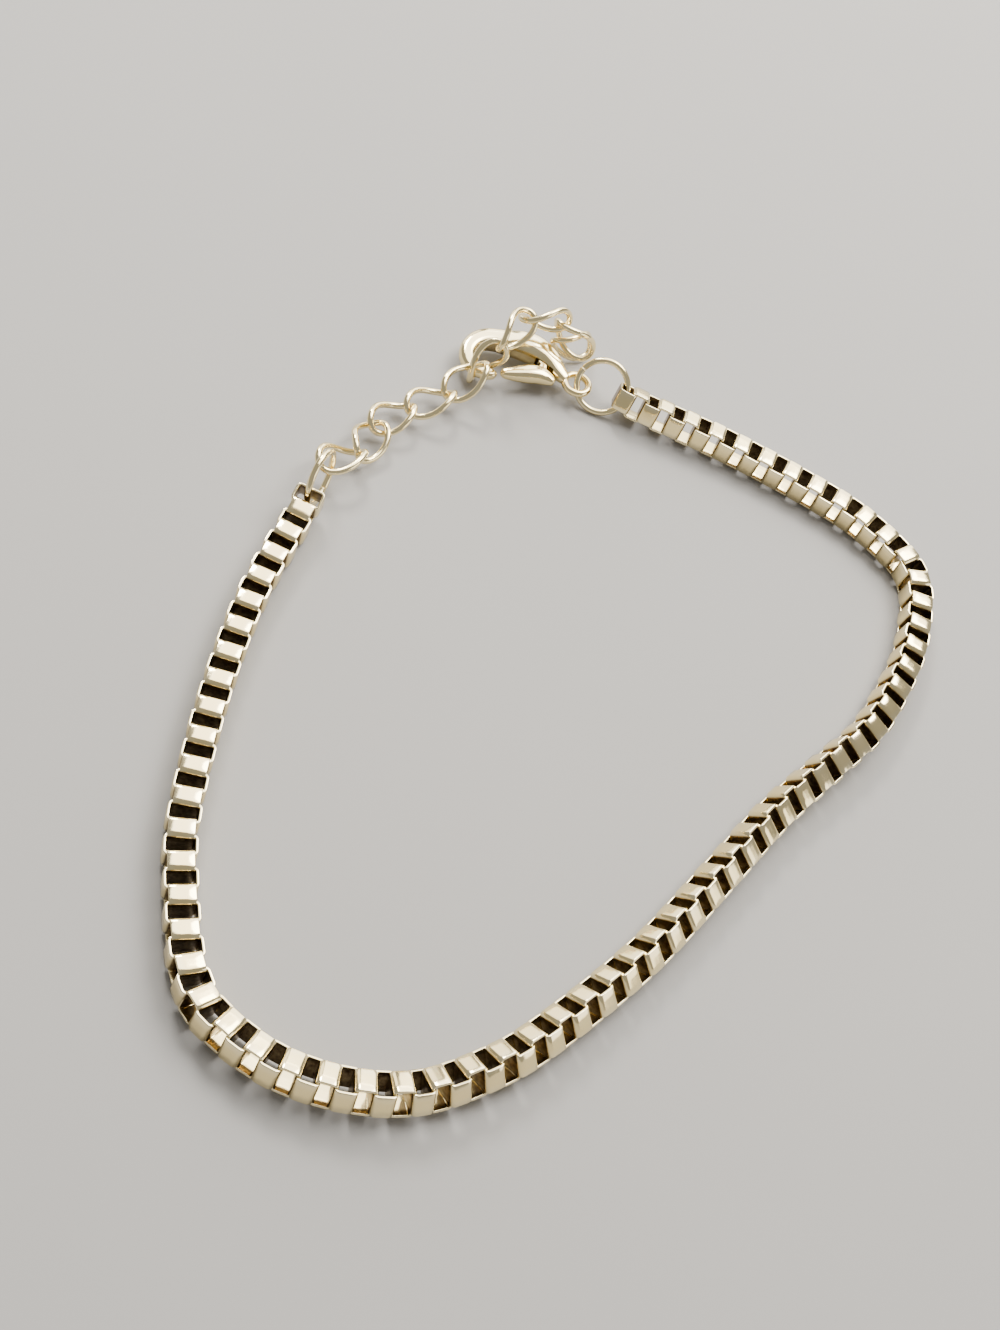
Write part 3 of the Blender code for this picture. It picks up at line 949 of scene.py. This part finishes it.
class BRACELET_OT_lever(bpy.types.Operator):
    """Models the clasp's lever with its tongue and boss"""

    bl_idname = "bracelet.lever"
    bl_label = "Clasp lever"

    def execute(self, context):
        sizes = context.scene.bracelet_clasp
        origin, axes, pivot = clasp_axes(sizes)
        arm = bar_surface(LEVER_ARM, sizes)
        tongue = bar_surface(LEVER_TONGUE, sizes, steps=6, sides=20)
        boss = turned_surface(cylinder_profile(sizes.boss, sizes.tongue / 2, BOSS_RIM), pivot)
        points, faces = join_surfaces([arm, tongue, boss])
        piece = new_mesh("clasp_lever_cast", points, faces)
        clasp_attributes(piece, sizes)
        put_on_clasp(piece, origin, axes)
        gold = gold_material("lever_gold_polished", wear=0.7, shade_strength=0.7, grain=2.4 * MM)
        finish_piece(piece, gold, LEVER_BODY, ["clasp_lever"])
        return {"FINISHED"}


def plain_floor(stage):
    """A square sheet just under the model's foot."""
    half = stage.size / 2
    corners = half * np.array([[-1, -1, 0], [1, -1, 0], [1, 1, 0], [-1, 1, 0]])
    floor = new_mesh("floor", corners - np.array([0, 0, FLOOR_DROP]), [[0, 1, 2, 3]])
    floor.data.materials.append(floor_material())


def area_light(name, place, size, power):
    """A square area light that faces the origin."""
    light = bpy.data.lights.new(name, "AREA")
    light.size = size
    light.energy = power
    light.color = LIGHT_COLOUR
    made = bpy.data.objects.new(name, light)
    made.location = place
    made.rotation_euler = (-Vector(place)).to_track_quat("-Z", "Y").to_euler()
    bpy.context.scene.collection.objects.link(made)


def even_light(strength):
    """Light of one warm white from every side."""
    world = bpy.data.worlds.new("even_light")
    world.use_nodes = True
    background = world.node_tree.nodes["Background"]
    background.inputs["Color"].default_value = WORLD_COLOUR
    background.inputs["Strength"].default_value = strength
    bpy.context.scene.world = world


def photo_camera():
    """The camera of the photograph, with its roll, above the floor."""
    down, roll = math.radians(CAMERA_DOWN), math.radians(CAMERA_ROLL)
    forward = Vector((0, math.cos(down), -math.sin(down)))
    level_up = Vector((0, math.sin(down), math.cos(down)))
    level_right = Vector((1, 0, 0))
    right = math.cos(roll) * level_right + math.sin(roll) * level_up
    up = math.cos(roll) * level_up - math.sin(roll) * level_right
    camera = bpy.data.cameras.new("photo_camera")
    camera.sensor_width = SENSOR
    camera.lens = PHOTO_FOCAL * SENSOR / PHOTO_HEIGHT
    camera.clip_start = 0.001
    camera.clip_end = 10.0
    made = bpy.data.objects.new("photo_camera", camera)
    turn = Matrix((right, up, -forward)).transposed().to_4x4()
    place = Vector(CAMERA_PLACE) * MM + Vector(MODEL_SHIFT)
    made.matrix_world = Matrix.Translation(place) @ turn
    bpy.context.scene.collection.objects.link(made)
    bpy.context.scene.camera = made


class BRACELET_OT_stage(bpy.types.Operator):
    """Sets out the floor, the soft lights and the camera"""

    bl_idname = "bracelet.stage"
    bl_label = "Stage"

    def execute(self, context):
        stage = context.scene.bracelet_stage
        plain_floor(stage)
        for name, place, size, setting in LIGHTS:
            area_light(name, place, size, getattr(stage, setting))
        even_light(stage.world)
        photo_camera()
        return {"FINISHED"}


class BRACELET_PT_panel(bpy.types.Panel):
    """Lists the sizes, the colours and the steps of the bracelet"""

    bl_idname = "BRACELET_PT_panel"
    bl_label = "Box Chain Bracelet"
    bl_space_type = "VIEW_3D"
    bl_region_type = "UI"
    bl_category = "Bracelet"

    def draw(self, context):
        for key, group in SETTINGS.items():
            box = self.layout.box()
            box.label(text=group.__doc__.rstrip("."))
            for name in group.__annotations__:
                box.prop(getattr(context.scene, key), name)
        for operator in OPERATORS:
            self.layout.operator(operator.bl_idname)


OPERATORS = (
    BRACELET_OT_chain,
    BRACELET_OT_rings,
    BRACELET_OT_extender,
    BRACELET_OT_clasp,
    BRACELET_OT_lever,
    BRACELET_OT_stage,
)


def register():
    for group in (*SETTINGS.values(), *OPERATORS, BRACELET_PT_panel):
        bpy.utils.register_class(group)
    for key, group in SETTINGS.items():
        setattr(bpy.types.Scene, key, bpy.props.PointerProperty(type=group))


def unregister():
    for key in SETTINGS:
        delattr(bpy.types.Scene, key)
    for group in (BRACELET_PT_panel, *reversed(OPERATORS), *reversed(SETTINGS.values())):
        bpy.utils.unregister_class(group)


def main():
    register()
    bpy.ops.bracelet.chain()
    bpy.ops.bracelet.rings()
    bpy.ops.bracelet.extender()
    bpy.ops.bracelet.clasp()
    bpy.ops.bracelet.lever()
    bpy.ops.bracelet.stage()


if __name__ == "__main__":
    main()
